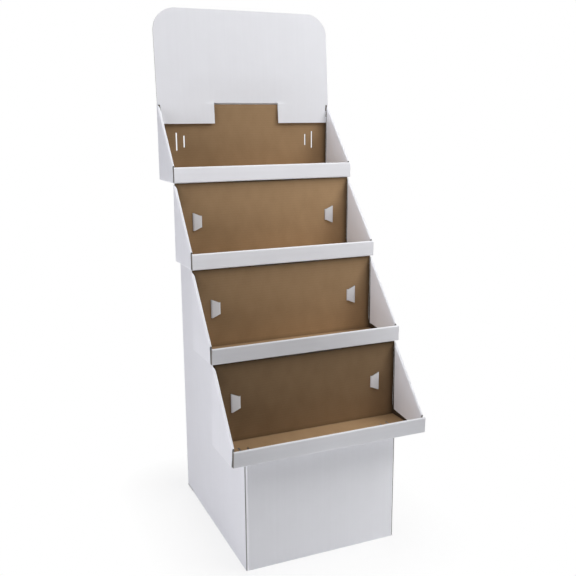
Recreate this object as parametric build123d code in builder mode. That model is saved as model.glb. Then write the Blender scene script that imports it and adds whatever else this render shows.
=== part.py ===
"""A corrugated display stand: a stepped sleeve, a plinth panel, four trays and a header card.

Millimetres, +Z up, the shopper stands on the -Y side. The origin is on the floor, in the
middle of the stand's outline.
"""

import os
from math import cos, radians, sin

from build123d import *

# Board and fits
board = 3.0  # thickness of the corrugated board
bend_radius_share = 0.8  # outside radius of a fold, as a share of the board
roll_gap = 1.0  # air between the two layers of a rolled wall
seam = 0.5  # play between flaps that meet, and on each face of a tab in its slit

# Trays, all cut alike
tray_count = 4
tray_width = 500.0
tray_depth = 140.0
tray_pitch = 201.0  # from one tray's underside to the next one's
tray_headroom = 0.5  # air between a back panel and the tray above it
lip_height = 40.0
lip_overlap = 2.0  # each lip stands this far ahead of the back panel below it
wall_setback = 3.0  # the side walls start this far behind the rolled lip
wall_rise = 3.5  # and this far above its top edge
wall_drop = 1.0  # at the back they end this far below the back panel
hem_gap = 2.0  # the inner layer of a side wall stops this far above the floor at the front
hem_rise = 15.0  # and this much higher at the back
corner_gap = 4.0  # at its foot it stops this far ahead of the back panel, at its top half as far
corner_hole = 4.0  # across the hole in the front end of a rolled wall
corner_hole_depth = 8.0

# Sleeve and plinth
body_width = 403.0
base_height = 294.0
lip_overhang = 50.0  # the lowest lip stands this far ahead of the plinth
flap_depth = 60.0  # flaps of the plinth panel, inside the sleeve
notch_length = 50.0  # hand notch under each side panel, at the back
notch_height = 4.0

# Tabs of the sleeve that lock the trays
tab_length = 46.0  # along its fold
tab_tip_length = 30.0
tab_reach = 21.0  # from the fold to the tip
tab_tip_depth = 8.0  # how far the tip shows behind the tray

# Header card
header_height = 298.0
header_radius = 60.0
header_lean = 4.6  # degrees, towards the back
leg_overlap = 53.5  # the legs hang this far down in front of the top tray's back panel
leg_taper = 5.0  # each leg narrows by this much towards its foot
tongue_width = 186.0
tongue_notch = 2.5  # notch for the tongue in the top edge of a back panel
slit_rise = 5.5  # the slits beside the tongue end this far above the back panel

# Worked out from the sizes above
bend_radius = bend_radius_share * board
roll = board + roll_gap + board
back_height = tray_pitch - tray_headroom
wall_front = roll + wall_setback
wall_foot = lip_height + wall_rise
wall_height = back_height - wall_drop
wall_slope = (wall_height - wall_foot) / (tray_depth - wall_front)
panel_front = tray_depth - board
tray_step = panel_front - lip_overlap
body_depth = (tray_count - 1) * tray_step + tray_depth - lip_overhang
slit_width = seam + board + seam
back_slit_middle = back_height / 2
floor_slit_middle = (roll + tray_depth) / 2
tab_x = body_width / 2 - board / 2
header_width = tray_width
header_rise = header_height - leg_overlap
lean = radians(header_lean)
stand_depth = lip_overhang + body_depth - board - seam + header_rise * sin(lean)
lip_y = -stand_depth / 2
plinth_y = lip_y + lip_overhang
back_y = plinth_y + body_depth

# Front lip and underside of each tray, the lowest first
tray_places = []
for level in range(tray_count):
    tray_places.append((lip_y + level * tray_step, base_height + level * tray_pitch))
top_tray_y, top_tray_z = tray_places[-1]

os.makedirs("parts", exist_ok=True)


# A locking tab as it lies in a tray's back panel. The origin is in the middle of its root.
with BuildPart() as tab:
    with BuildSketch(Plane.XY) as tab_plan:
        with Locations((0, -board)):
            Rectangle(board, board + board)
        with Locations((-tab_reach / 2, -board - board / 2)):
            Rectangle(tab_reach + board, board)
        with Locations((-tab_reach, tab_tip_depth / 2 - board)):
            Rectangle(board, tab_tip_depth + board + board)
        fillet(tab_plan.vertices().group_by(Axis.Y)[0], bend_radius)
    extrude(amount=tab_length / 2, both=True)
    with BuildSketch(Plane.XZ) as tab_face:
        with BuildLine():
            Polyline(
                (board / 2, -tab_length / 2),
                (board / 2, tab_length / 2),
                (-board / 2, tab_length / 2),
                (board / 2 - tab_reach, tab_tip_length / 2),
                (-board / 2 - tab_reach, tab_tip_length / 2),
                (-board / 2 - tab_reach, -tab_tip_length / 2),
                (board / 2 - tab_reach, -tab_tip_length / 2),
                (-board / 2, -tab_length / 2),
                close=True,
            )
        make_face()
    extrude(amount=tab_reach, both=True, mode=Mode.INTERSECT)


# Stepped outline of a side panel: one tread under each tray and a riser behind it
side_outline = [(back_y, 0), (plinth_y, 0)]
riser_places = []
tread_y = plinth_y
for tray_y, tray_z in tray_places:
    riser_y = tray_y + tray_depth
    side_outline.append((tread_y, tray_z))
    side_outline.append((riser_y, tray_z))
    riser_places.append((tab_x, riser_y, tray_z + back_slit_middle))
    tread_y = riser_y
top_tab_place = Location((tab_x, top_tray_y + floor_slit_middle, top_tray_z), (-90, 0, 0))

# Sleeve: both side panels and the back are one folded sheet, open at the bottom and the top
with BuildPart() as body:
    with BuildSketch(Plane.YZ.offset(body_width / 2 - board)) as side_panel:
        with BuildLine():
            Polyline(*side_outline, close=True)
        make_face()
        with Locations((back_y - board - notch_length / 2, notch_height / 2)):
            Rectangle(notch_length, notch_height, mode=Mode.SUBTRACT)
    extrude(amount=board)
    with Locations(*riser_places[:-1]):
        add(tab.part)
    with Locations(top_tab_place):
        add(tab.part)
    mirror(about=Plane.YZ)
    with BuildSketch(Plane.XZ.offset(-back_y)) as back_sheet:
        with Locations((0, top_tray_z / 2)):
            Rectangle(body_width, top_tray_z)
    extrude(amount=board)
    rear_corners = body.faces().sort_by(Axis.Y)[-1].edges().filter_by(Axis.Z)
    fillet(rear_corners, bend_radius)
body.part.label = "body"
export_step(body.part, "parts/body.step")


# Plinth panel between the side panels, with a flap folded back along each of them
with BuildPart() as plinth_front:
    plinth_width = body_width - board - board
    with BuildSketch(Plane.XY) as plinth_plan:
        with Locations((0, plinth_y + board / 2)):
            Rectangle(plinth_width, board)
        with Locations((0, plinth_y + flap_depth / 2)):
            with GridLocations(plinth_width - board, 0, 2, 1):
                Rectangle(board, flap_depth)
        fillet(plinth_plan.vertices().group_by(Axis.Y)[0], bend_radius)
    extrude(amount=base_height)
plinth_front.part.label = "plinth_front"
export_step(plinth_front.part, "parts/plinth_front.step")


# Rolled side wall of a tray, on the right: an outer layer, a fold along the slope and an inner one
with BuildPart() as wall:
    with BuildSketch(Plane.YZ.offset(tray_width / 2 - roll)) as wall_outline:
        with BuildLine():
            Polyline(
                (wall_front, board),
                (tray_depth, board),
                (tray_depth, wall_height),
                (wall_front, wall_foot),
                close=True,
            )
        make_face()
    extrude(amount=roll)
    slope = wall.faces().sort_by(Axis.Z)[-1]
    fillet(slope.edges().filter_by(Axis.X, reverse=True), bend_radius)
    # Air between the layers, up to one board below the slope
    with BuildSketch(Plane.YZ.offset(tray_width / 2 - board - roll_gap)) as air_outline:
        with Locations((0, -board)):
            add(wall_outline.sketch)
    extrude(amount=roll_gap, mode=Mode.SUBTRACT)
    # The inner layer clears the floor and the back panel
    with BuildSketch(Plane.YZ.offset(tray_width / 2 - roll)) as inner_trim:
        with BuildLine():
            Polyline(
                (0, 0),
                (0, board + hem_gap),
                (tray_depth, board + hem_gap + hem_rise),
                (tray_depth, 0),
                close=True,
            )
        make_face()
        with BuildLine():
            Polyline(
                (tray_depth, 0),
                (panel_front - corner_gap, 0),
                (panel_front - corner_gap / 2, back_height),
                (tray_depth, back_height),
                close=True,
            )
        make_face()
    extrude(amount=roll_gap + board, mode=Mode.SUBTRACT)

# Tray: one sheet folded up into floor, back panel, rolled lip and rolled side walls
with BuildPart() as tray:
    inner_width = tray_width - board - board - seam - seam
    notch_width = tongue_width + 4 * seam
    with BuildSketch(Plane.XY) as floor_outline:
        with Locations((0, tray_depth / 2)):
            Rectangle(tray_width, tray_depth)
    extrude(amount=board)
    fillet(tray.faces().sort_by(Axis.Z)[0].edges(), bend_radius)
    with BuildSketch(Plane.YZ) as lip_section:
        with Locations((roll / 2, (board + lip_height) / 2)):
            Rectangle(roll, lip_height - board)
        fillet(lip_section.vertices().group_by(Axis.Y)[-1], bend_radius)
        with Locations((roll / 2, lip_height / 2)):
            Rectangle(roll_gap, lip_height - board - board, mode=Mode.SUBTRACT)
    extrude(amount=tray_width / 2, both=True)
    with BuildSketch(Plane.XZ.offset(-tray_depth)) as back_panel:
        with Locations((0, (board + back_height) / 2)):
            Rectangle(inner_width, back_height - board)
        with Locations((0, back_height)):
            Rectangle(notch_width, tongue_notch + tongue_notch, mode=Mode.SUBTRACT)
    extrude(amount=board)
    add(wall.part)
    mirror(wall.part, about=Plane.YZ)
    # Slits for the tabs of the sleeve, in the back panel and in the floor
    slit_planes = [(Plane.XZ.offset(-tray_depth), back_slit_middle), (Plane.XY, floor_slit_middle)]
    for slit_plane, slit_middle in slit_planes:
        with BuildSketch(slit_plane) as slits:
            with Locations((0, slit_middle)):
                with GridLocations(tab_x + tab_x, 0, 2, 1):
                    Rectangle(slit_width, seam + tab_length + seam)
                with GridLocations(tab_x + tab_x - tab_reach - tab_reach, 0, 2, 1):
                    Rectangle(slit_width, seam + tab_tip_length + seam)
        extrude(amount=board, mode=Mode.SUBTRACT)
    # Holes in the front ends of the rolled walls, where they meet the lip
    with BuildSketch(Plane.XZ.offset(-wall_front)) as corner_holes:
        with Locations((0, wall_foot - corner_hole / 2)):
            with GridLocations(tray_width - roll, 0, 2, 1):
                Circle(corner_hole / 2)
    extrude(amount=-corner_hole_depth, mode=Mode.SUBTRACT)

for level, (tray_y, tray_z) in enumerate(tray_places):
    tray_name = f"tray_{tray_count - level}"
    with BuildPart() as placed_tray:
        with Locations((0, tray_y, tray_z)):
            add(tray.part)
    placed_tray.part.label = tray_name
    export_step(placed_tray.part, f"parts/{tray_name}.step")


# Header card: two legs hang in front of the top tray's back panel, the tongue behind it
panel_front_y = back_y - board
panel_top = top_tray_z + back_height
shoulder = wall_foot + wall_slope * (panel_front - wall_front) + seam - back_height
leg_top = tray_width / 2 - roll - seam
leg_foot = leg_top - leg_taper
header_plane = Plane(
    origin=(0, panel_front_y - seam, panel_top),
    x_dir=(1, 0, 0),
    z_dir=(0, -cos(lean), sin(lean)),
)
tongue_root_y = panel_front_y - seam + slit_rise * sin(lean) - board / 2 * cos(lean)
tongue_y = back_y + seam + board / 2
with BuildPart() as header:
    with BuildSketch(header_plane) as card:
        with BuildLine():
            Polyline(
                (-leg_foot, -leg_overlap),
                (-leg_top, shoulder),
                (-header_width / 2, shoulder),
                (-header_width / 2, header_rise),
                (header_width / 2, header_rise),
                (header_width / 2, shoulder),
                (leg_top, shoulder),
                (leg_foot, -leg_overlap),
                close=True,
            )
        make_face()
        fillet(card.vertices().group_by(Axis.Y)[-1], header_radius)
        with Locations((0, (slit_rise - leg_overlap) / 2)):
            Rectangle(tongue_width + seam + seam, slit_rise + leg_overlap, mode=Mode.SUBTRACT)
    extrude(amount=board)
    with BuildSketch(Plane.YZ) as tongue:
        with BuildLine():
            Polyline(
                (tongue_root_y, panel_top + slit_rise + board),
                (tongue_y, panel_top - tongue_notch + seam),
                (tongue_y, panel_top - leg_overlap),
            )
        trace(line_width=board)
    extrude(amount=tongue_width / 2, both=True)
header.part.label = "header"
export_step(header.part, "parts/header.step")
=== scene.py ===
"""Looks of the cardboard display stand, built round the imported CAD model.

Every sheet is corrugated board: a white liner, a kraft liner and the fluted paper between them, each
worked out as whole arrays on a grid. One coordinate of a grid crosses the flutes, the other
runs along them, and a depth from 0 on the white face to 1 on the kraft face goes through the board.
Metres, +Z up, the shopper stands on the -Y side.
"""

import math

import bpy
import numpy as np
from mathutils import Matrix, Vector


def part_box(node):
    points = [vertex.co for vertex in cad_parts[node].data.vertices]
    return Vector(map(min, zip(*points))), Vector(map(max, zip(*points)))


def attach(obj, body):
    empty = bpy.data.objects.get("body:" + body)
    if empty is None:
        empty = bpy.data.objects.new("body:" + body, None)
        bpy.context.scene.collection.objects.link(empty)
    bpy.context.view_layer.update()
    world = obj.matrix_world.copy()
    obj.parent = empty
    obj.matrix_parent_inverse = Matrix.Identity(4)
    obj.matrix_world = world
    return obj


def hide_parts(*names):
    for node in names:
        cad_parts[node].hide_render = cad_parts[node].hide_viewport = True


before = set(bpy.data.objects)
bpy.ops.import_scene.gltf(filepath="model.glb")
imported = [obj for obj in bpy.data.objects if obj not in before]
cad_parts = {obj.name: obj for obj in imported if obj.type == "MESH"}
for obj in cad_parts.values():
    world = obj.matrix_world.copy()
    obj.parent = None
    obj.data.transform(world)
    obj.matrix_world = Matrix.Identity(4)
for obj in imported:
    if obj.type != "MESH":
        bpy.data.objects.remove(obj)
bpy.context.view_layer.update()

MM = 0.001

# Board
BOARD = 3.0 * MM
LINER = 0.3 * MM  # thickness of each paper
FLUTE_PITCH = 6.5 * MM
FLUTE_STEPS = 8  # grid lines to one flute
FLUTE_SHARE = 0.5 - 2 * LINER / BOARD  # swing of the fluted paper, as a share of the board
FOLD_REACH = 3.5 * MM  # a fold is round this far to each side of its corner
FOLD_STEPS = 6
FOLD_FLAT = 1.5 * MM  # the grid has one more line this far outside each fold
GRID = 24.0 * MM  # widest spacing of a paper's grid lines
SLEEVE_GRID = 72.0 * MM  # the same along the sleeve's flutes
SMALLEST_CELL = 0.01 * MM**2  # a smaller cell of a grid is left out
SEAM = 0.5 * MM  # play between two sheets

# Trays
ROLL = 7.0 * MM  # thickness of a rolled lip or wall
LIP_HEIGHT = 40.0 * MM
WALL_FRONT = ROLL + 3.0 * MM  # the side walls start this far behind the front
WALL_START = LIP_HEIGHT + 3.5 * MM  # their height there
WALL_DROP = 1.0 * MM  # the walls end this far below the top of the back panel
WALL_FOOT = 4.0 * MM  # the wall's own strip of the floor
HEM_GAP = 2.0 * MM  # a wall's inner layer ends this far above the floor at the front
HEM_RISE = 15.0 * MM  # and this much higher at the back
CORNER_GAP = 10.0 * MM  # it also ends this far before the back panel, and half as far at its top
HOLE_DEPTH = 14.0 * MM  # the front end of a rolled wall is hollow this far in
SIDE_CURL = 2.5 * MM  # the side edges of a back panel give way backwards this far
TOP_CURL = 2.7 * MM  # and its top edge this far, below another tray
CURL_POWER = 8  # the higher, the nearer to its edges
CURL_START = 0.15  # share of its height in which the curl grows from nothing
CURL_SPAN = 0.3  # share of its width and height, next to the edges, with more grid lines
CURL_LINES = 9
EDGE_WAVE = 4.0 * MM  # unevenness of the inner wall's rear edge
FRONT_SQUEEZE = 2.0 * MM  # the outer layer of a wall is pressed in this far at the front

# Painted light and shade on the papers
FOLD_HIGHLIGHT = 0.13  # painted highlight: share that the white paper of trays and plinth gains where it is bent
SIDE_LIGHT = 0.16  # painted light and shade: share that a tray's kraft gains at the right edge and loses at the left one
EDGE_SHADE = 0.7  # painted shade: share that it loses at the edges of the back panel
EDGE_SHADE_REACH = 10.0 * MM
CREASE_SHADE = 0.5  # painted shade: share that it loses in the crease at the foot of the panel
CREASE_SHADE_REACH = 5.5 * MM
ROLL_SHADE = 0.15  # painted shade: tone of the kraft inside the rolled walls

# Tabs of the sleeve and their slits
TAB_LENGTH = 46.0 * MM  # of a tab's root, and of its longer slit without the play
TIP_LENGTH = 30.0 * MM  # of its tip
TAB_REACH = 21.0 * MM  # from one slit to the other
TIP_DEPTH = 8.0 * MM  # the tip reaches this far behind the panel that it is tucked into
TAB_BULGE = 0.8 * MM
SLIT = BOARD + 2 * SEAM  # width of a slit

# Sleeve and plinth panel
NOTCH_LENGTH = 50.0 * MM  # of the hand notch at the foot of a side panel
NOTCH_HEIGHT = 4.0 * MM
CUT_PRESS = 0.3  # share of the board by which the sleeve's right front cut is pressed thinner
CUT_SETBACK = 2.0 * MM  # both front cuts stand this far behind the plinth's folds
CUT_REACH = 6.0 * MM  # press and setback fade out this far from the cut
PLINTH_LIGHT = 1.06  # painted light: tone of the plinth's paper in its middle
PLINTH_SIDE_LIGHT = 0.06  # painted light and shade: gained at its right end and lost at its left one
CREASE_INSET = 8.0 * MM  # a crease lies this far inside each fold of the plinth
CREASE_DEPTH = 0.5 * MM
CREASE_WIDTH = 1.4 * MM

# Header card
HEADER_RADIUS = 60.0 * MM
HEADER_LEAN = math.radians(4.6)
HEADER_BOW = 3.0 * MM
LEG_OVERLAP = 53.5 * MM  # legs and tongue reach this far below the top of the back panel
LEG_TAPER = 5.0 * MM  # a leg is this much narrower at its foot
TONGUE_WIDTH = 186.0 * MM
TONGUE_NOTCH = 2.5 * MM  # notch for the tongue in the top edge of a back panel
SLIT_RISE = 1.5 * MM  # the slits beside the tongue end this far above the back panel
TUCK_DEPTH = 2.0 * MM  # the card's lower middle gives way backwards, into the tongue
TUCK_HEIGHT = 80.0 * MM
TUCK_FADE = 70.0 * MM

# Sizes and places that the CAD model gives
TRAYS = ["tray_4", "tray_3", "tray_2", "tray_1"]  # the lowest first
tray_low, tray_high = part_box(TRAYS[0])
TRAY_HALF = tray_high.x
TRAY_DEPTH = tray_high.y - tray_low.y
BACK_HEIGHT = tray_high.z - tray_low.z
WALL_HEIGHT = BACK_HEIGHT - WALL_DROP
WALL_SLOPE = (WALL_HEIGHT - WALL_START) / (TRAY_DEPTH - WALL_FRONT)
BACK_SLIT_MIDDLE = BACK_HEIGHT / 2
FLOOR_SLIT_MIDDLE = (ROLL + TRAY_DEPTH) / 2
NOTCH_HALF = TONGUE_WIDTH / 2 + 2 * SEAM
top_low, top_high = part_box(TRAYS[-1])
PANEL_FRONT = top_high.y - BOARD
PANEL_TOP = top_high.z
body_low, body_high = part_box("body")
BODY_HALF = body_high.x
PLINTH_Y = body_low.y
BACK_Y = body_high.y
TAB_X = BODY_HALF - BOARD / 2
plinth_low, plinth_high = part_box("plinth_front")
_, header_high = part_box("header")
HEADER_HALF = header_high.x
HEADER_RISE = (header_high.z - PANEL_TOP) / math.cos(HEADER_LEAN) - BOARD * math.tan(HEADER_LEAN)


# Grids and folds

def spaced(stops, step=GRID):
    """Grid lines through all the stops, with even lines between two stops that lie further apart."""
    stops = np.unique(np.round(stops, 6))
    counts = np.ceil(np.diff(stops) / step).astype(int)
    runs = [np.linspace(*ends, count, endpoint=False) for *ends, count in zip(stops, stops[1:], counts)]
    return np.append(np.concatenate(runs), stops[-1])


def fluted(stops):
    """Grid lines through all the stops, with even lines between them that draw each flute as a wave."""
    stops = np.unique(np.round(stops, 6))
    step = FLUTE_PITCH / FLUTE_STEPS
    even = np.arange(stops[0], stops[-1], step)
    clear = np.abs(even[:, None] - stops).min(axis=1) > step / 4
    return np.sort(np.concatenate([stops, even[clear]]))


def mirrored(stops):
    """The stops and their mirror images about zero."""
    stops = np.asarray(stops, float)
    return np.concatenate([-stops, stops])


def unevenness(share, seed, waves=(1, 2, 3)):
    """A smooth value from -1 to 1: the mean of sines of a few wave counts, with phases drawn from
    the seed."""
    phases = np.random.default_rng(seed).uniform(0, 2 * np.pi, len(waves))
    return sum(np.sin(2 * np.pi * n * share + phase) for n, phase in zip(waves, phases)) / len(waves)


def smooth(share):
    """A value that goes from 0 to 1 with level ends: 3 share^2 - 2 share^3, for a share from 0 to 1."""
    share = np.clip(share, 0, 1)
    return share**2 * (3 - 2 * share)


def rounded(corners, reach):
    """A line whose inner corners are parabolas: from a point reach before the corner to one reach
    after it, (1-t)^2 times the first, 2t(1-t) times the corner and t^2 times the last."""
    corners = np.asarray(corners, float)
    legs = np.diff(corners, axis=0)
    legs /= np.linalg.norm(legs, axis=1, keepdims=True)
    corner = corners[1:-1, None]
    before = corner - reach * legs[:-1, None]
    after = corner + reach * legs[1:, None]
    t = np.linspace(0, 1, FOLD_STEPS + 1)[:, None]
    folds = (1 - t) ** 2 * before + 2 * t * (1 - t) * corner + t**2 * after
    return np.concatenate([corners[:1], folds.reshape(-1, 2), corners[-1:]])


class FoldedBoard:
    """A folded board seen from its end, as the lines of its white and its kraft liner side by side.

    Stations are lengths along the sharp corners of the white liner."""

    def __init__(self, white, kraft, kraft_reach=FOLD_REACH - BOARD):
        lengths = np.linalg.norm(np.diff(np.asarray(white, float), axis=0), axis=1)
        self.corners = np.append(0, np.cumsum(lengths))
        inner = self.corners[1:-1, None]
        folds = inner + np.linspace(-FOLD_REACH, FOLD_REACH, FOLD_STEPS + 1)
        self.stations = np.concatenate([[0], folds.ravel(), self.corners[-1:]])
        flats = inner + np.array([-1, 1]) * (FOLD_REACH + FOLD_FLAT)
        inside = np.clip(flats.ravel(), 0, self.corners[-1])
        self.stops = np.unique(np.round(np.concatenate([self.stations, inside]), 6))
        self.white = rounded(white, FOLD_REACH)
        self.kraft = rounded(kraft, kraft_reach)

    def at(self, station, depth):
        """The two coordinates at a station: both liners' lines, mixed by depth."""
        white = [np.interp(station, self.stations, line) for line in self.white.T]
        kraft = [np.interp(station, self.stations, line) for line in self.kraft.T]
        return [w + (k - w) * depth for w, k in zip(white, kraft)]

    def painted_fold_highlight(self, station):
        """Painted highlight on the white liner, paler where it is bent: a bell shape round each fold.
        """
        off = np.abs(station[..., None] - self.corners[1:-1]).min(axis=-1)
        return 1 + FOLD_HIGHLIGHT * np.exp(-((off / FOLD_REACH) ** 2))


def middles(lines):
    """The middle of each cell between four neighbours of a grid."""
    return (lines[:-1, :-1] + lines[1:, 1:]) / 2


def grid_layer(points, outward, keep, sheet, painted_shading):
    """One paper on a grid: its points, its four-cornered faces, its sheet coordinates and its factors
    of painted light and shade.

    A face goes round its cell, the way that turns its normal towards outward. A cell whose diagonals
    span no area is left out."""
    rows, columns = points.shape[:2]
    index = np.arange(rows * columns).reshape(rows, columns)
    faces = np.stack([index[:-1, :-1], index[1:, :-1], index[1:, 1:], index[:-1, 1:]], axis=-1)
    diagonals = points[1:, 1:] - points[:-1, :-1], points[:-1, 1:] - points[1:, :-1]
    spanned = np.cross(*diagonals)
    facing = (spanned * outward[:-1, :-1]).sum()
    keep = keep & (np.linalg.norm(spanned, axis=-1) > SMALLEST_CELL)
    faces = faces[keep] if facing > 0 else faces[keep][:, ::-1]
    used, faces = np.unique(faces, return_inverse=True)
    points, sheet = points.reshape(-1, 3)[used], sheet.reshape(-1, 2)[used]
    return points, faces.reshape(-1, 4), sheet, painted_shading.ravel()[used]


def board(across_stops, along_stops, place, keep=None, hollow=None, painted_shading=None, step=GRID):
    """White liner, kraft liner and fluted paper of one board.

    place(across, along, depth) gives the points. The liners lie at depth 0 and 1. The fluted paper
    swings between them as a sine of the length across, one period to a flute. keep(points) says
    which cells exist, by their middles, and hollow(points) where only the white liner does.
    tone(across, along, depth) is a factor on a liner's colour that paints light and shade on it, 1
    where there is none. step is the widest spacing of the lines along the flutes."""
    layers = []
    for lines, steps, depths in (
        (spaced(across_stops), spaced(along_stops, step), (0, 1)),
        (fluted(across_stops), spaced(along_stops, step), (None,)),
    ):
        across, along = np.meshgrid(lines, steps, indexing="ij")
        cells = place(middles(across), middles(along), 0.5)
        kept = np.ones(cells.shape[:2], bool) if keep is None else keep(cells)
        through = place(across, along, 0) - place(across, along, 1)
        sheet = np.stack([across, along], axis=-1) / FLUTE_PITCH
        for depth in depths:
            wave = 0.5 + FLUTE_SHARE * np.sin(2 * np.pi * across / FLUTE_PITCH)
            points = place(across, along, wave if depth is None else depth)
            outward = -through if depth == 1 else through
            there = kept if hollow is None or depth == 0 else kept & ~hollow(cells)
            plain = painted_shading is None or depth is None
            painted_shadings = np.ones(across.shape) if plain else painted_shading(across, along, depth)
            layers.append(grid_layer(points, outward, there, sheet, painted_shadings))
    return layers


# Finishes. Where there are two colours, the finish varies between them

WHITE_CLOUDS = (0.815, 0.82, 0.852, 1), (0.842, 0.848, 0.882, 1)
WHITE_SPECKS = (0.7, 0.68, 0.66, 1)
KRAFT_CLOUDS = (0.335, 0.213, 0.111, 1), (0.4, 0.26, 0.14, 1)
KRAFT_STRANDS = (0.452, 0.298, 0.162, 1)
KRAFT_FLECKS = (0.186, 0.116, 0.061, 1)
KRAFT_GLUE_LINES_AND_SHADE = (0.232, 0.147, 0.078, 1)
RAW_FIBRES = (0.34, 0.318, 0.298, 1), (0.48, 0.457, 0.435, 1)
PALE_RAW_FIBRES = (0.46, 0.455, 0.45, 1), (0.58, 0.575, 0.57, 1)
PLAIN_WHITE = (1, 1, 1, 1)


def feed(tree, socket, value):
    """Give a socket its value, which may be an output to link to it."""
    if isinstance(value, bpy.types.NodeSocket):
        tree.links.new(value, socket)
    else:
        socket.default_value = value


def add_node(tree, kind, **inputs):
    """A shader node with its inputs fed by name."""
    made = tree.nodes.new(kind)
    for name, value in inputs.items():
        feed(tree, made.inputs[name.replace("_", " ")], value)
    return made


def mixed(tree, share, first, second):
    """The colour share of the way from first to second."""
    node = tree.nodes.new("ShaderNodeMix")
    node.data_type = "RGBA"
    for place, value in ((0, share), (6, first), (7, second)):  # its sockets for colours
        feed(tree, node.inputs[place], value)
    return node.outputs[2]


def maths(tree, operation, first, second=0.0):
    """An operation on one or two values, where each may be an output."""
    node = tree.nodes.new("ShaderNodeMath")
    node.operation = operation
    for socket, value in zip(node.inputs, (first, second)):
        feed(tree, socket, value)
    return node.outputs[0]


def weighed(tree, first, first_weight, second, second_weight):
    """The sum of two values, each times its weight."""
    first = maths(tree, "MULTIPLY", first, first_weight)
    second = maths(tree, "MULTIPLY", second, second_weight)
    return maths(tree, "ADD", first, second)


def mixed_shaders(tree, share, first, second):
    """The shader share of the way from first to second."""
    mix = tree.nodes.new("ShaderNodeMixShader")
    for socket, value in zip(mix.inputs, (share, first, second)):
        feed(tree, socket, value)
    return mix.outputs[0]


def noise(tree, coordinates, stretch, detail=3.0, roughness=0.55):
    """Noise with the given count of blotches to a unit in each direction."""
    mapping = add_node(tree, "ShaderNodeMapping", Vector=coordinates, Scale=stretch)
    made = add_node(tree, "ShaderNodeTexNoise", Vector=mapping.outputs[0], Scale=1.0)
    made.inputs["Detail"].default_value = detail
    made.inputs["Roughness"].default_value = roughness
    return made.outputs[0]


def stepped(tree, value, low, high):
    """A value spread so that low becomes 0 and high becomes 1."""
    node = add_node(tree, "ShaderNodeMapRange", Value=value, From_Min=low, From_Max=high)
    return node.outputs[0]


def paper(name, rough, gloss):
    """A new paper finish, its tree, its shader and its sheet coordinates, counted in flutes."""
    material = bpy.data.materials.new(name)
    material.use_nodes = True
    tree = material.node_tree
    shader = tree.nodes["Principled BSDF"]
    shader.inputs["Roughness"].default_value = rough
    shader.inputs["Specular IOR Level"].default_value = gloss
    sheet = tree.nodes.new("ShaderNodeUVMap")
    sheet.uv_map = "sheet"
    return material, tree, shader, sheet.outputs[0]


def flute_ripple(tree, sheet):
    """The washboard that shows through a liner: a sine of the length across, one period to a flute."""
    across = add_node(tree, "ShaderNodeSeparateXYZ", Vector=sheet).outputs[0]
    return maths(tree, "SINE", maths(tree, "MULTIPLY", across, 2 * math.pi))


def with_painted_shading(tree, colour):
    """A colour scaled by the painted light and shade that the sheet carries."""
    painted_shading = tree.nodes.new("ShaderNodeAttribute")
    painted_shading.attribute_name = "painted_shading"
    scaled = tree.nodes.new("ShaderNodeVectorMath")
    scaled.operation = "SCALE"
    tree.links.new(colour, scaled.inputs[0])
    tree.links.new(painted_shading.outputs["Fac"], scaled.inputs["Scale"])
    return scaled.outputs[0]


def bumped(tree, shader, height, distance):
    """Relief of a shader from a height from 0 to 1, distance deep."""
    bump = add_node(tree, "ShaderNodeBump", Height=height, Distance=distance, Strength=1.0)
    tree.links.new(bump.outputs[0], shader.inputs["Normal"])


def white_finish():
    """Coated white paper: cool white, a little cloudy and streaked along the flutes, with fine grain,
    a few specks and a faint washboard. The painted light and shade that the sheet carries scale the
    colour."""
    material, tree, shader, sheet = paper("white_paper", 0.55, 0.3)
    cloud = stepped(tree, noise(tree, sheet, (0.12, 0.12, 1.0)), 0.3, 0.7)
    streak = stepped(tree, noise(tree, sheet, (0.8, 0.015, 1.0), detail=2.0), 0.3, 0.7)
    grain = noise(tree, sheet, (6.0, 11.0, 1.0), detail=2.0)
    ripple = flute_ripple(tree, sheet)
    colour = mixed(tree, weighed(tree, cloud, 0.5, streak, 0.5), *WHITE_CLOUDS)
    speck = maths(tree, "MULTIPLY", stepped(tree, grain, 0.72, 0.8), 0.15)
    colour = mixed(tree, speck, colour, WHITE_SPECKS)
    tree.links.new(with_painted_shading(tree, colour), shader.inputs["Base Color"])
    bumped(tree, shader, weighed(tree, ripple, 0.2, grain, 0.3), 0.04 * MM)
    return material


def kraft_finish():
    """Unbleached kraft: cloudy brown with drawn-out fibres, flecks, and lines over the flutes that are
    glue lines and painted shade of the washboard. The painted light and shade that the sheet carries
    scale the colour."""
    material, tree, shader, sheet = paper("kraft_paper", 0.85, 0.2)
    cloud = stepped(tree, noise(tree, sheet, (0.1, 0.16, 1.0), detail=4.0), 0.25, 0.75)
    fibre = noise(tree, sheet, (1.2, 14.0, 1.0), detail=3.0)
    fleck = stepped(tree, noise(tree, sheet, (5.0, 16.0, 1.0), detail=1.0), 0.66, 0.76)
    ripple = flute_ripple(tree, sheet)
    colour = mixed(tree, cloud, *KRAFT_CLOUDS)
    strand = maths(tree, "MULTIPLY", stepped(tree, fibre, 0.35, 0.7), 0.35)
    colour = mixed(tree, strand, colour, KRAFT_STRANDS)
    colour = mixed(tree, maths(tree, "MULTIPLY", fleck, 0.4), colour, KRAFT_FLECKS)
    # glue lines and painted washboard shade, one to a flute
    line = maths(tree, "MULTIPLY", stepped(tree, ripple, 0.2, 1.0), 0.1)
    colour = mixed(tree, line, colour, KRAFT_GLUE_LINES_AND_SHADE)
    tree.links.new(with_painted_shading(tree, colour), shader.inputs["Base Color"])
    bumped(tree, shader, weighed(tree, ripple, 0.25, fibre, 0.5), 0.06 * MM)
    return material


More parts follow.
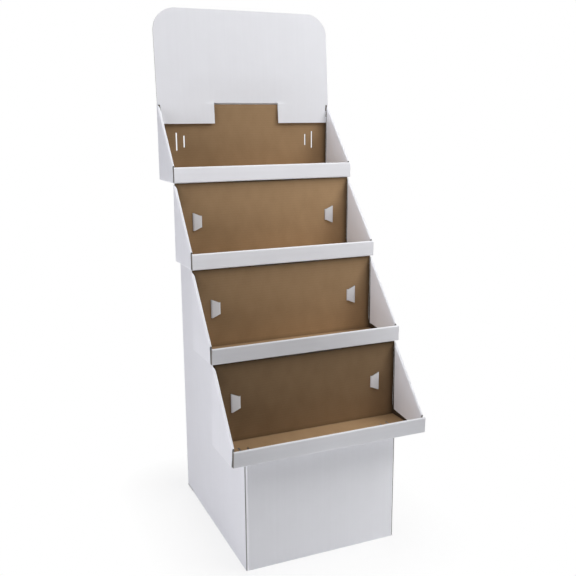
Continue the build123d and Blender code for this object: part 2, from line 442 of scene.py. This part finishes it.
def raw_finish(name, dark, pale):
    """Raw paper inside the board and at its cut edges: rough and fibrous, between two colours."""
    material, tree, shader, sheet = paper(name, 0.95, 0.1)
    fibre = noise(tree, sheet, (3.0, 9.0, 1.0), detail=4.0)
    colour = mixed(tree, stepped(tree, fibre, 0.3, 0.7), dark, pale)
    tree.links.new(colour, shader.inputs["Base Color"])
    bumped(tree, shader, fibre, 0.05 * MM)
    return material


WHITE, KRAFT = white_finish(), kraft_finish()
RAW = raw_finish("raw_paper", *RAW_FIBRES)
PALE_RAW = raw_finish("pale_raw_paper", *PALE_RAW_FIBRES)  # the sleeve's


# Pieces

def add_piece(name, node, layers, finish, raw):
    """One object for several papers. layers are pairs of a paper and its finish: 0 for the finish of
    the piece, 1 for raw paper.

    A Solidify modifier gives each paper its thickness, inwards, with raw paper behind it and at the
    cuts."""
    papers = [layer for layer, _ in layers]
    counts = np.cumsum([0] + [len(points) for points, _, _, _ in papers])
    points = np.concatenate([points for points, _, _, _ in papers])
    faces = np.concatenate([faces + first for (_, faces, _, _), first in zip(papers, counts)])
    sheet = np.concatenate([sheet for _, _, sheet, _ in papers])
    painted_shading = np.concatenate([painted_shading for _, _, _, painted_shading in papers])
    finishes = np.concatenate([np.full(len(layer[1]), index) for layer, index in layers])
    mesh = bpy.data.meshes.new(name)
    mesh.from_pydata(points.tolist(), [], faces.tolist())
    mesh.uv_layers.new(name="sheet").data.foreach_set("uv", sheet[faces.ravel()].ravel())
    # per point, the factor of painted light and shade on the colour
    mesh.attributes.new("painted_shading", "FLOAT", "POINT").data.foreach_set("value", painted_shading)
    mesh.polygons.foreach_set("material_index", finishes)
    mesh.polygons.foreach_set("use_smooth", np.ones(len(faces), bool))
    mesh.materials.append(finish)
    mesh.materials.append(raw)
    edges = np.empty(len(mesh.loops), int)
    mesh.loops.foreach_get("edge_index", edges)
    cut = np.bincount(edges, minlength=len(mesh.edges)) == 1
    mesh.attributes.new("sharp_edge", "BOOLEAN", "EDGE").data.foreach_set("value", cut)
    piece = bpy.data.objects.new(name, mesh)
    bpy.context.scene.collection.objects.link(piece)
    thickness = piece.modifiers.new("thickness", "SOLIDIFY")
    thickness.thickness = LINER
    thickness.offset = -1
    thickness.material_offset = 1
    thickness.material_offset_rim = 1
    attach(piece, "root")
    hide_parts(node)


def add_sheet(node, boards, raw=RAW):
    """The two pieces of one sheet: its white liner, and its kraft liner with the fluted paper."""
    white = [(layers[0], 0) for layers in boards]
    kraft = [(layers[1], 0) for layers in boards]
    flutes = [(layers[2], 1) for layers in boards]
    add_piece(f"{node}_white_liner", node, white, WHITE, raw)
    add_piece(f"{node}_kraft_liner", node, kraft + flutes, KRAFT, raw)


# Trays

# The place and the half length of a tab's two slits
SLITS = [(TAB_X, TAB_LENGTH / 2 + SEAM), (TAB_X - TAB_REACH, TIP_LENGTH / 2 + SEAM)]
SLIT_SIDES = np.array([place + side * SLIT / 2 for place, _ in SLITS for side in (-1, 1)])
SLIT_ENDS = mirrored([half for _, half in SLITS])

tray_fold = FoldedBoard(
    white=[
        (ROLL, BOARD),
        (ROLL, LIP_HEIGHT),
        (0, LIP_HEIGHT),
        (0, 0),
        (TRAY_DEPTH, 0),
        (TRAY_DEPTH, BACK_HEIGHT),
    ],
    kraft=[
        (ROLL - BOARD, BOARD),
        (ROLL - BOARD, LIP_HEIGHT - BOARD),
        (BOARD, LIP_HEIGHT - BOARD),
        (BOARD, BOARD),
        (TRAY_DEPTH - BOARD, BOARD),
        (TRAY_DEPTH - BOARD, BACK_HEIGHT),
    ],
)
lip_foot, back_foot = tray_fold.corners[3:5]

wall_fold = FoldedBoard(
    white=[
        (TRAY_HALF - ROLL, BOARD + HEM_GAP),
        (TRAY_HALF - ROLL, WALL_START),
        (TRAY_HALF, WALL_START),
        (TRAY_HALF, 0),
        (TRAY_HALF - WALL_FOOT, 0),
    ],
    kraft=[
        (TRAY_HALF - ROLL + BOARD, BOARD + HEM_GAP),
        (TRAY_HALF - ROLL + BOARD, WALL_START - BOARD),
        (TRAY_HALF - BOARD, WALL_START - BOARD),
        (TRAY_HALF - BOARD, BOARD),
        (TRAY_HALF - WALL_FOOT, BOARD),
    ],
)


def tray_sheet(origin, wall_leans, lip_leans, lip_shifts, top_curl, kraft_shading, lip_lighting):
    """Lip, floor and back panel of a tray: their profile carried along X, with slits and notch.

    The lip runs over the whole width, the floor leaves the walls' own strips out and the back panel
    fits between the walls and follows their leans at its ends. Its side edges and, by top_curl, its
    top edge curl backwards, both with a high power of the share of its width and of its height, added
    as the sides of a right angle are. The lip's top leans forwards by a lean that changes evenly from
    the left end to the right one, and so does how far it sits to the right.

    The kraft carries painted light and shade: it darkens evenly up the back panel, from the first of
    its two kraft values by the share that is the second, and lightens evenly from left to right. As
    painted shade it drops exponentially towards the panel's edges, at the top only below another tray,
    and in a bell shape at the crease of its foot. The white paper carries a painted highlight at its
    folds, and on the lip painted light and shade that goes evenly through its three values, left,
    middle and right."""
    foot_shading, top_shade = kraft_shading
    wall_start = lip_foot + WALL_FRONT
    back_start = back_foot - FOLD_REACH
    end_stations = [wall_start - SEAM, wall_start, back_start, back_start + SEAM]
    floor_end, back_end = TRAY_HALF - WALL_FOOT, TRAY_HALF - BOARD - SEAM

    def place(across, along, depth):
        y, z = tray_fold.at(across, depth)
        end = np.interp(across, end_stations, [TRAY_HALF, floor_end, floor_end, back_end])
        x = np.clip(along, -end, end)
        rise = np.clip((across - back_foot) / BACK_HEIGHT, 0, 1)
        lean_in = np.where(x < 0, *wall_leans)
        x = x - np.sign(x) * lean_in * rise * (np.abs(x) / back_end) ** CURL_POWER
        side_curl = SIDE_CURL * (np.abs(x) / back_end) ** CURL_POWER
        y = y + np.hypot(side_curl, top_curl * rise**CURL_POWER) * smooth(rise / CURL_START)
        lean = np.interp(x, [-TRAY_HALF, TRAY_HALF], lip_leans)
        y = y - lean * np.clip((z - BOARD) / (LIP_HEIGHT - BOARD), 0, 1) * (across < lip_foot)
        shift = np.interp(x, [-TRAY_HALF, TRAY_HALF], lip_shifts)
        x = x + shift * np.interp(across, end_stations[:2], [1, 0])
        return np.stack([x, y, z], axis=-1) + origin

    # painted light and shade on the tray's papers
    def painted_shading(across, along, depth):
        if depth == 0:
            lip = np.interp(along, [-TRAY_HALF, 0, TRAY_HALF], lip_lighting)
            white = tray_fold.painted_fold_highlight(across) * np.where(across < lip_foot, lip, 1)
            return np.minimum(white, 1 + FOLD_HIGHLIGHT)
        rise = np.clip((across - back_foot) / BACK_HEIGHT, 0, 1)
        from_top = BACK_HEIGHT * (1 - rise) if top_curl else BACK_HEIGHT
        from_edge = np.minimum(np.maximum(back_end - np.abs(along), 0), from_top)
        edge = 1 - EDGE_SHADE * np.exp(-from_edge / EDGE_SHADE_REACH)
        panel = np.where(across > back_foot, foot_shading * (1 - top_shade * rise) * edge, 1)
        crease = 1 - CREASE_SHADE * np.exp(-(((across - back_foot) / CREASE_SHADE_REACH) ** 2))
        return panel * crease * (1 + SIDE_LIGHT * along / TRAY_HALF)

    def keep(points):
        x, y, z = np.moveaxis(points - origin, -1, 0)
        in_panel = y > TRAY_DEPTH - 2 * BOARD
        cut = in_panel & (z > BACK_HEIGHT - TONGUE_NOTCH) & (np.abs(x) < NOTCH_HALF)
        for slit_x, half in SLITS:
            beside = np.abs(np.abs(x) - slit_x) < SLIT / 2
            in_floor = (z < BOARD) & (np.abs(y - FLOOR_SLIT_MIDDLE) < half)
            in_back = in_panel & (np.abs(z - BACK_SLIT_MIDDLE) < half)
            cut |= beside & (in_floor | in_back)
        return ~cut

    floor_slits = lip_foot + FLOOR_SLIT_MIDDLE + SLIT_ENDS
    back_slits = back_foot + BACK_SLIT_MIDDLE + SLIT_ENDS
    notch = [tray_fold.corners[-1] - TONGUE_NOTCH]
    curled = 1 - CURL_SPAN * np.linspace(0, 1, CURL_LINES) ** 2
    curl_stations = back_foot + BACK_HEIGHT * np.append(curled, CURL_START * np.linspace(0.2, 1, 4))
    crease = back_foot - CREASE_SHADE_REACH * np.array([1, 1.5, 2])
    across = [tray_fold.stops, end_stations, floor_slits, back_slits, notch, curl_stations, crease]
    along = [SLIT_SIDES, [0, NOTCH_HALF, floor_end, TRAY_HALF], back_end * curled]
    return board(np.concatenate(across), mirrored(np.concatenate(along)), place, keep, painted_shading=painted_shading)


def tray_wall(origin, side, seed, leans):
    """Rolled side wall of a tray: the profile across it carried along Y.

    Its fold rises with y along the slope, and the hem of its inner layer rises less. The inner rear
    edge runs at a slant and is uneven, most of all at the hem. The wall leans inwards in proportion to
    the share of its height there, by a lean that changes evenly from the front to the back. The outer
    layer is pressed inwards at the front, where its lower part reaches up to the lip. The front end has
    only its white liner for the depth of the hole."""
    hem, inner_top, outer_top, foot, end = wall_fold.corners
    lift_stations = [hem, inner_top - FOLD_REACH, outer_top + FOLD_REACH, foot - FOLD_REACH]
    panel = TRAY_DEPTH - BOARD
    rear_ends = [panel - CORNER_GAP, panel - CORNER_GAP / 2, TRAY_DEPTH]

    def place(across, along, depth):
        x, z = wall_fold.at(along, depth)
        rear = np.interp(along, [hem, inner_top, outer_top], rear_ends)
        inner = np.interp(along, [hem, inner_top - FOLD_REACH], [1, 0])
        rear = rear - EDGE_WAVE * inner * unevenness(along / inner_top, seed)
        front = np.interp(along, [outer_top + ROLL, outer_top + 2 * ROLL], [WALL_FRONT, ROLL + SEAM])
        y = front + (rear - front) * across / TRAY_DEPTH
        lift = np.interp(along, lift_stations, [0, 1, 1, 0])
        slope = WALL_SLOPE * (y - WALL_FRONT)
        z = z + lift * slope + inner * HEM_RISE * y / TRAY_DEPTH
        back_share = np.clip(y / TRAY_DEPTH, 0, 1)
        lean = leans[0] + (leans[1] - leans[0]) * back_share
        x = x - lean * np.clip(z / (WALL_START + slope), 0, 1)
        outer = np.interp(along, [inner_top, outer_top, foot, end], [0, 1, 1, 0])
        x = x - FRONT_SQUEEZE * outer * (1 - back_share)
        return np.stack([side * x, y, z], axis=-1) + origin

    def hollow(points):
        _, y, z = np.moveaxis(points - origin, -1, 0)
        return (y < WALL_FRONT + HOLE_DEPTH) & (z > LIP_HEIGHT - BOARD)

    # painted highlight at the folds of the white paper, painted shade on the kraft inside the roll
    def painted_shading(across, along, depth):
        return wall_fold.painted_fold_highlight(along) if depth == 0 else np.full(along.shape, ROLL_SHADE)

    return board([0, HOLE_DEPTH, TRAY_DEPTH], wall_fold.stops, place, hollow=hollow, painted_shading=painted_shading)


# No two trays are folded quite alike, and each carries its own painted light and shade
LEFT_LEANS = {  # how far the left wall leans in, at the front and at the back
    "tray_4": (4.0 * MM, 4.5 * MM),
    "tray_3": (0.5 * MM, 0.5 * MM),
    "tray_2": (0.5 * MM, 1.0 * MM),
    "tray_1": (0.0, 0.0),
}
LIP_LEANS = {  # how far the lip's top leans forwards, at its left and at its right end
    "tray_4": (4.0 * MM, 2.0 * MM),
    "tray_3": (4.5 * MM, 0.5 * MM),
    "tray_2": (0.5 * MM, 0.0),
    "tray_1": (-1.0 * MM, -1.5 * MM),
}
LIP_SHIFTS = {  # how far the lip sits to the right, at its left and at its right end
    "tray_4": (5.0 * MM, 6.0 * MM),
    "tray_3": (3.5 * MM, 7.5 * MM),
    "tray_2": (3.5 * MM, 5.5 * MM),
    "tray_1": (3.0 * MM, 5.0 * MM),
}
KRAFT_SHADING = {  # painted light and shade: tone of the kraft at the foot of the back panel, and the share lost to its top as painted shade
    "tray_4": (0.77, 0.36),
    "tray_3": (1.1, 0.26),
    "tray_2": (1.16, 0.12),
    "tray_1": (1.04, 0.14),
}
LIP_LIGHTING = {  # painted light and shade: tone of the lip's white paper, at its left end, in its middle and at its right end
    "tray_4": (0.8, 0.95, 0.88),
    "tray_3": (0.82, 0.81, 0.99),
    "tray_2": (0.99, 1.03, 1.05),
    "tray_1": (1.07, 1.1, 1.06),
}
RIGHT_LEANS = (-8.5 * MM, -2.0 * MM)  # the right walls all lean out
for level, name in enumerate(TRAYS):
    low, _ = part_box(name)
    origin = np.array([0, low.y, low.z])
    top_curl = 0.0 if name == TRAYS[-1] else TOP_CURL
    back_leans = (LEFT_LEANS[name][1], RIGHT_LEANS[1])
    lip = LIP_LEANS[name], LIP_SHIFTS[name]
    sheet = tray_sheet(origin, back_leans, *lip, top_curl, KRAFT_SHADING[name], LIP_LIGHTING[name])
    left = tray_wall(origin, -1, 2 * level, LEFT_LEANS[name])
    right = tray_wall(origin, 1, 2 * level + 1, RIGHT_LEANS)
    add_sheet(name, [sheet, left, right])


# Sleeve

tab_fold = FoldedBoard(
    white=[
        (-BOARD / 2, 0),
        (-BOARD / 2, 2 * BOARD),
        (TAB_REACH + BOARD / 2, 2 * BOARD),
        (TAB_REACH + BOARD / 2, -TIP_DEPTH),
    ],
    kraft=[
        (BOARD / 2, 0),
        (BOARD / 2, BOARD),
        (TAB_REACH - BOARD / 2, BOARD),
        (TAB_REACH - BOARD / 2, -TIP_DEPTH),
    ],
)


def tab(side, root, out, length):
    """Locking tab: its profile through the slits, carried along its fold and narrowing to the tip.

    root is the middle of its fold, out the direction through the tray and length the one of the fold,
    along which a place is a share of half the tab's length there."""

    def place(across, along, depth):
        inwards, outwards = tab_fold.at(across, depth)
        half = np.interp(inwards, [BOARD / 2, TAB_REACH - BOARD / 2], [TAB_LENGTH / 2, TIP_LENGTH / 2])
        flat = np.clip(inwards / TAB_REACH, 0, 1)
        outwards = outwards + TAB_BULGE * np.sin(np.pi * flat) * (outwards > 0)
        points = inwards[..., None] * np.array([-side, 0, 0]) + outwards[..., None] * np.array(out)
        return points + (half * along)[..., None] * np.array(length) + root

    return board(tab_fold.stops, [-1, 0, 1], place, step=1)


def sleeve():
    """Side panels and back: their plan carried up from the floor, cut to the steps under the trays.

    The front cuts stand back a little, and at the right one the white face is pressed inwards. Both
    fade out with level ends."""
    outer, inner, rear = BODY_HALF, BODY_HALF - BOARD, BACK_Y - BOARD
    fold = FoldedBoard(
        white=[(outer, PLINTH_Y), (outer, BACK_Y), (-outer, BACK_Y), (-outer, PLINTH_Y)],
        kraft=[(inner, PLINTH_Y), (inner, rear), (-inner, rear), (-inner, PLINTH_Y)],
    )
    risers = np.array([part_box(name)[1].y for name in TRAYS[:-1]])
    treads = np.array([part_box(name)[0].z for name in TRAYS])
    notch = np.array([BACK_Y - FOLD_REACH - NOTCH_LENGTH, BACK_Y - FOLD_REACH])

    def place(across, along, depth):
        at_right = 1 - smooth(across / CUT_REACH)
        at_left = 1 - smooth((fold.corners[-1] - across) / CUT_REACH)
        x, y = fold.at(across, depth + (1 - depth) * CUT_PRESS * at_right)
        return np.stack([x, y + CUT_SETBACK * (at_right + at_left), along], axis=-1)

    def keep(points):
        y, z = points[..., 1], points[..., 2]
        in_notch = (z < NOTCH_HEIGHT) & (y > notch[0]) & (y < notch[1])
        return (z < treads[np.searchsorted(risers, y)]) & ~in_notch

    near_cut = CUT_REACH * np.linspace(0, 1, 6)
    cuts = np.concatenate([risers - PLINTH_Y, notch - PLINTH_Y, near_cut])
    across = np.concatenate([fold.stops, cuts, fold.corners[-1] - cuts])
    along = np.concatenate([[0, NOTCH_HEIGHT], treads])
    boards = [board(across, along, place, keep, step=SLEEVE_GRID)]
    for side in (-1, 1):
        for riser, tread in zip(risers, treads):
            root = np.array([side * TAB_X, riser, tread + BACK_SLIT_MIDDLE])
            boards.append(tab(side, root, (0, -1, 0), (0, 0, 1)))
        root = np.array([side * TAB_X, top_low.y + FLOOR_SLIT_MIDDLE, treads[-1]])
        boards.append(tab(side, root, (0, 0, 1), (0, 1, 0)))
    return boards


add_sheet("body", sleeve(), PALE_RAW)


# Plinth panel

def plinth():
    """Front panel and flaps of the base: their plan carried up from the floor.

    A crease beside each fold is a bell-shaped groove in the white liner. The paper carries painted
    light that rises evenly from left to right, and the painted highlight of a fold where this is more."""
    half, front, end = plinth_high.x, plinth_low.y, plinth_high.y
    inner, behind = half - BOARD, front + BOARD
    fold = FoldedBoard(
        white=[(half, end), (half, front), (-half, front), (-half, end)],
        kraft=[(inner, end), (inner, behind), (-inner, behind), (-inner, end)],
    )
    crease = half - CREASE_INSET
    middle = fold.corners[-1] / 2

    def place(across, along, depth):
        x, y = fold.at(across, depth)
        groove = np.exp(-(((np.abs(x) - crease) / CREASE_WIDTH) ** 2)) * (1 - depth)
        return np.stack([x, y + CREASE_DEPTH * groove * (y < behind), along], axis=-1)

    def painted_shading(across, along, depth):
        to_right = np.clip((middle - across) / half, -1, 1)
        return np.maximum(fold.painted_fold_highlight(across), PLINTH_LIGHT + PLINTH_SIDE_LIGHT * to_right)

    grooves = middle + mirrored(crease + CREASE_WIDTH * np.linspace(-2, 2, 7))
    return [board(np.concatenate([fold.stops, grooves]), [0, plinth_high.z], place, painted_shading=painted_shading)]


add_sheet("plinth_front", plinth())


# Header card

UP = np.array([0, math.sin(HEADER_LEAN), math.cos(HEADER_LEAN)])
FRONT = np.array([0, -math.cos(HEADER_LEAN), math.sin(HEADER_LEAN)])
HEADER_FOOT = np.array([0, PANEL_FRONT - SEAM, PANEL_TOP])


def header_bulge(x, height):
    """How far the card stands forwards of its plane.

    A bow, which is a parabola across the card, less the tuck: the lower middle gives way backwards
    towards the tongue, fading out upwards and to both sides. The legs end flat on the back panel."""
    bow = HEADER_BOW * (1 - (x / HEADER_HALF) ** 2) * smooth(height / TUCK_HEIGHT)
    beside = smooth(0.5 + (np.abs(x) - TONGUE_WIDTH / 2) / TUCK_FADE)
    in_leg = (np.abs(x) > TONGUE_WIDTH / 2) * smooth(1 - height / SLIT_RISE)
    tuck = TUCK_DEPTH * (1 - beside) * (1 - smooth(height / TUCK_HEIGHT)) * (1 - in_leg)
    return bow - tuck


def header_card():
    """The leaning card: x across, and up it from the legs' feet to a top edge with round corners.

    Above the tuck a height is stretched so that its last line follows the quarter circles. The legs
    narrow towards their feet, and the cells beside and between them are left out."""
    leg_inner = TONGUE_WIDTH / 2 + SEAM
    leg_outer = TRAY_HALF - ROLL - SEAM
    shoulder = WALL_START + WALL_SLOPE * (TRAY_DEPTH - BOARD - WALL_FRONT) + SEAM - BACK_HEIGHT
    round_start = HEADER_HALF - HEADER_RADIUS

    def place(across, along, depth):
        beyond = np.maximum(np.abs(across) - round_start, 0)
        top = HEADER_RISE - HEADER_RADIUS + np.sqrt(np.maximum(HEADER_RADIUS**2 - beyond**2, 0))
        stretch = (top - TUCK_HEIGHT) / (HEADER_RISE - TUCK_HEIGHT)
        height = np.where(along > TUCK_HEIGHT, TUCK_HEIGHT + (along - TUCK_HEIGHT) * stretch, along)
        narrow = LEG_TAPER * np.clip((shoulder - along) / (shoulder + LEG_OVERLAP), 0, 1)
        outwards = np.interp(np.abs(across), [leg_inner, leg_outer], [0, 1])
        x = across - np.sign(across) * narrow * outwards
        forwards = BOARD * (1 - depth) + header_bulge(x, height)
        points = height[..., None] * UP + forwards[..., None] * FRONT + HEADER_FOOT
        points[..., 0] = x
        return points

    def keep(points):
        x = np.abs(points[..., 0])
        height = (points - HEADER_FOOT) @ UP
        in_gap = (x < leg_inner) & (height < SLIT_RISE)
        under_shoulder = (x > leg_outer) & (height < shoulder)
        return ~(in_gap | under_shoulder)

    corner = round_start + HEADER_RADIUS * np.sin(np.linspace(0, np.pi / 2, 16))
    fade = TONGUE_WIDTH / 2 + TUCK_FADE * np.linspace(-0.5, 0.5, 9)
    across = mirrored(np.concatenate([[0, leg_inner, leg_outer], fade, corner]))
    tuck = SLIT_RISE + (TUCK_HEIGHT - SLIT_RISE) * np.linspace(0, 1, 9)
    leg_bend = SLIT_RISE * np.linspace(0, 1, 4)
    along = np.concatenate([[-LEG_OVERLAP, shoulder, HEADER_RISE], leg_bend, tuck])
    return board(across, along, place, keep)


def header_tongue():
    """The tongue that hooks over the back panel: its profile carried along X, starting in the card."""
    start = HEADER_FOOT + SLIT_RISE * UP
    behind, hook, foot = BACK_Y + SEAM, PANEL_TOP - TONGUE_NOTCH + SEAM, PANEL_TOP - LEG_OVERLAP
    fold = FoldedBoard(
        white=[(start + BOARD * FRONT)[1:], (behind, hook), (behind, foot)],
        kraft=[start[1:], (behind + BOARD, hook), (behind + BOARD, foot)],
        kraft_reach=FOLD_REACH,
    )

    def place(across, along, depth):
        y, z = fold.at(along, depth)
        following = np.clip(1 - along / fold.corners[1], 0, 1) * header_bulge(across, SLIT_RISE)
        return np.stack([across, y + following * FRONT[1], z + following * FRONT[2]], axis=-1)

    half = TONGUE_WIDTH / 2
    return board(mirrored([0, half - TUCK_FADE / 2, half - TUCK_FADE / 4, half]), fold.stops, place)


add_sheet("header", [header_card(), header_tongue()])


# Floor and surroundings

FLOOR_HALF = 6.0
SHADOW_REACH = 0.2  # beside the stand the floor shows its shadow, which fades to white this far off
SHADOW_SHARE = 0.24  # how much of the shadow shows right at the stand
FLOOR_GREY = (0.9, 0.9, 0.9, 1)
PLAIN_LIGHT = (1, 1, 1)
COOL_LIGHT = (0.965, 0.957, 1)


def add_floor():
    """A pale floor that keeps the stand's shadow and fades to plain white for the camera.

    Under the stand it is only as bright as the light that reaches it."""
    mesh = bpy.data.meshes.new("floor")
    corners = FLOOR_HALF * np.array([(-1, -1, 0), (1, -1, 0), (1, 1, 0), (-1, 1, 0)])
    mesh.from_pydata(corners.tolist(), [], [(0, 1, 2, 3)])
    floor = bpy.data.objects.new("floor", mesh)
    bpy.context.scene.collection.objects.link(floor)
    material = bpy.data.materials.new("floor_white")
    material.use_nodes = True
    tree = material.node_tree
    tree.nodes.clear()
    coordinates = tree.nodes.new("ShaderNodeTexCoord").outputs["Object"]
    place = add_node(tree, "ShaderNodeSeparateXYZ", Vector=coordinates)
    from_middle = maths(tree, "SUBTRACT", place.outputs[1], (PLINTH_Y + BACK_Y) / 2)
    beside = maths(tree, "SUBTRACT", maths(tree, "ABSOLUTE", place.outputs[0]), BODY_HALF)
    beyond = maths(tree, "SUBTRACT", maths(tree, "ABSOLUTE", from_middle), (BACK_Y - PLINTH_Y) / 2)
    beside = maths(tree, "MAXIMUM", beside, 0.0)
    beyond = maths(tree, "MAXIMUM", beyond, 0.0)
    away = add_node(tree, "ShaderNodeCombineXYZ", X=beside, Y=beyond)
    distance = tree.nodes.new("ShaderNodeVectorMath")
    distance.operation = "LENGTH"
    tree.links.new(away.outputs[0], distance.inputs[0])
    fade = stepped(tree, distance.outputs["Value"], 0.0, SHADOW_REACH)
    share = maths(tree, "ADD", 1 - SHADOW_SHARE, maths(tree, "MULTIPLY", fade, SHADOW_SHARE))
    outside = maths(tree, "GREATER_THAN", distance.outputs["Value"], 0.0)
    camera_ray = tree.nodes.new("ShaderNodeLightPath").outputs["Is Camera Ray"]
    share = maths(tree, "MULTIPLY", share, maths(tree, "MULTIPLY", camera_ray, outside))
    diffuse = add_node(tree, "ShaderNodeBsdfDiffuse", Color=FLOOR_GREY)
    plain = add_node(tree, "ShaderNodeEmission", Color=PLAIN_WHITE, Strength=1.0)
    mix = mixed_shaders(tree, share, diffuse.outputs[0], plain.outputs[0])
    add_node(tree, "ShaderNodeOutputMaterial", Surface=mix)
    mesh.materials.append(material)


def add_world():
    """Surroundings that give no light of their own and that the camera sees as plain white."""
    world = bpy.data.worlds.new("studio")
    bpy.context.scene.world = world
    world.use_nodes = True
    tree = world.node_tree
    tree.nodes.clear()
    unlit = add_node(tree, "ShaderNodeBackground", Color=PLAIN_WHITE, Strength=0.0)
    plain = add_node(tree, "ShaderNodeBackground", Color=PLAIN_WHITE, Strength=1.0)
    camera_ray = tree.nodes.new("ShaderNodeLightPath").outputs["Is Camera Ray"]
    mix = mixed_shaders(tree, camera_ray, unlit.outputs[0], plain.outputs[0])
    add_node(tree, "ShaderNodeOutputWorld", Surface=mix)


def add_softbox(name, place, target, size, power, colour):
    """A square lamp at a place, facing a target."""
    lamp = bpy.data.lights.new(name, "AREA")
    lamp.size = size
    lamp.energy = power
    lamp.color = colour
    softbox = bpy.data.objects.new(name, lamp)
    softbox.location = place
    softbox.rotation_euler = (Vector(target) - Vector(place)).to_track_quat("-Z", "Y").to_euler()
    softbox.visible_camera = False
    bpy.context.scene.collection.objects.link(softbox)


add_floor()
add_world()
add_softbox("overhead", (0, -0.6, 2.6), (0, -0.6, 0), 3.0, 26, PLAIN_LIGHT)
add_softbox("right_high", (1.8, -1.0, 2.6), (0, 0, 0.7), 1.6, 48, PLAIN_LIGHT)
add_softbox("right_low", (1.7, -1.7, 0.5), (0, 0, 0.4), 1.0, 5, PLAIN_LIGHT)
add_softbox("left", (-2.6, -0.8, 1.5), (0, 0, 0.6), 1.8, 27.5, COOL_LIGHT)
add_softbox("left_low", (-2.2, -0.4, 0.5), (0, 0, 0.4), 1.0, 9, COOL_LIGHT)
add_softbox("behind", (0.5, 2.8, 1.5), (0, 0, 0.7), 1.8, 36, PLAIN_LIGHT)


# Camera, as fitted to the photograph's straight edges

IMAGE_SIDE = 576
FOCAL_PIXELS = 770.09
CAMERA_PLACE = (-762.66 * MM, tray_low.y - 1507.71 * MM, 1054.71 * MM)  # measured from the lowest lip
CAMERA_YAW = math.radians(23.374)
CAMERA_PITCH = math.radians(12.366)
CAMERA_ROLL = math.radians(0.333)


def add_camera():
    """A camera that looks along +Y, turned right by the yaw, down by the pitch and then rolled."""
    forward = Vector((
        math.sin(CAMERA_YAW) * math.cos(CAMERA_PITCH),
        math.cos(CAMERA_YAW) * math.cos(CAMERA_PITCH),
        -math.sin(CAMERA_PITCH),
    ))
    level = Vector((math.cos(CAMERA_YAW), -math.sin(CAMERA_YAW), 0))
    upright = level.cross(forward)
    right = math.cos(CAMERA_ROLL) * level - math.sin(CAMERA_ROLL) * upright
    up = math.sin(CAMERA_ROLL) * level + math.cos(CAMERA_ROLL) * upright
    lens = bpy.data.cameras.new("camera")
    lens.lens = lens.sensor_width * FOCAL_PIXELS / IMAGE_SIDE
    camera = bpy.data.objects.new("camera", lens)
    turn = Matrix((right, up, -forward)).transposed().to_4x4()
    camera.matrix_world = Matrix.Translation(CAMERA_PLACE) @ turn
    bpy.context.scene.collection.objects.link(camera)
    bpy.context.scene.camera = camera


add_camera()
bpy.context.scene.view_settings.view_transform = "Standard"
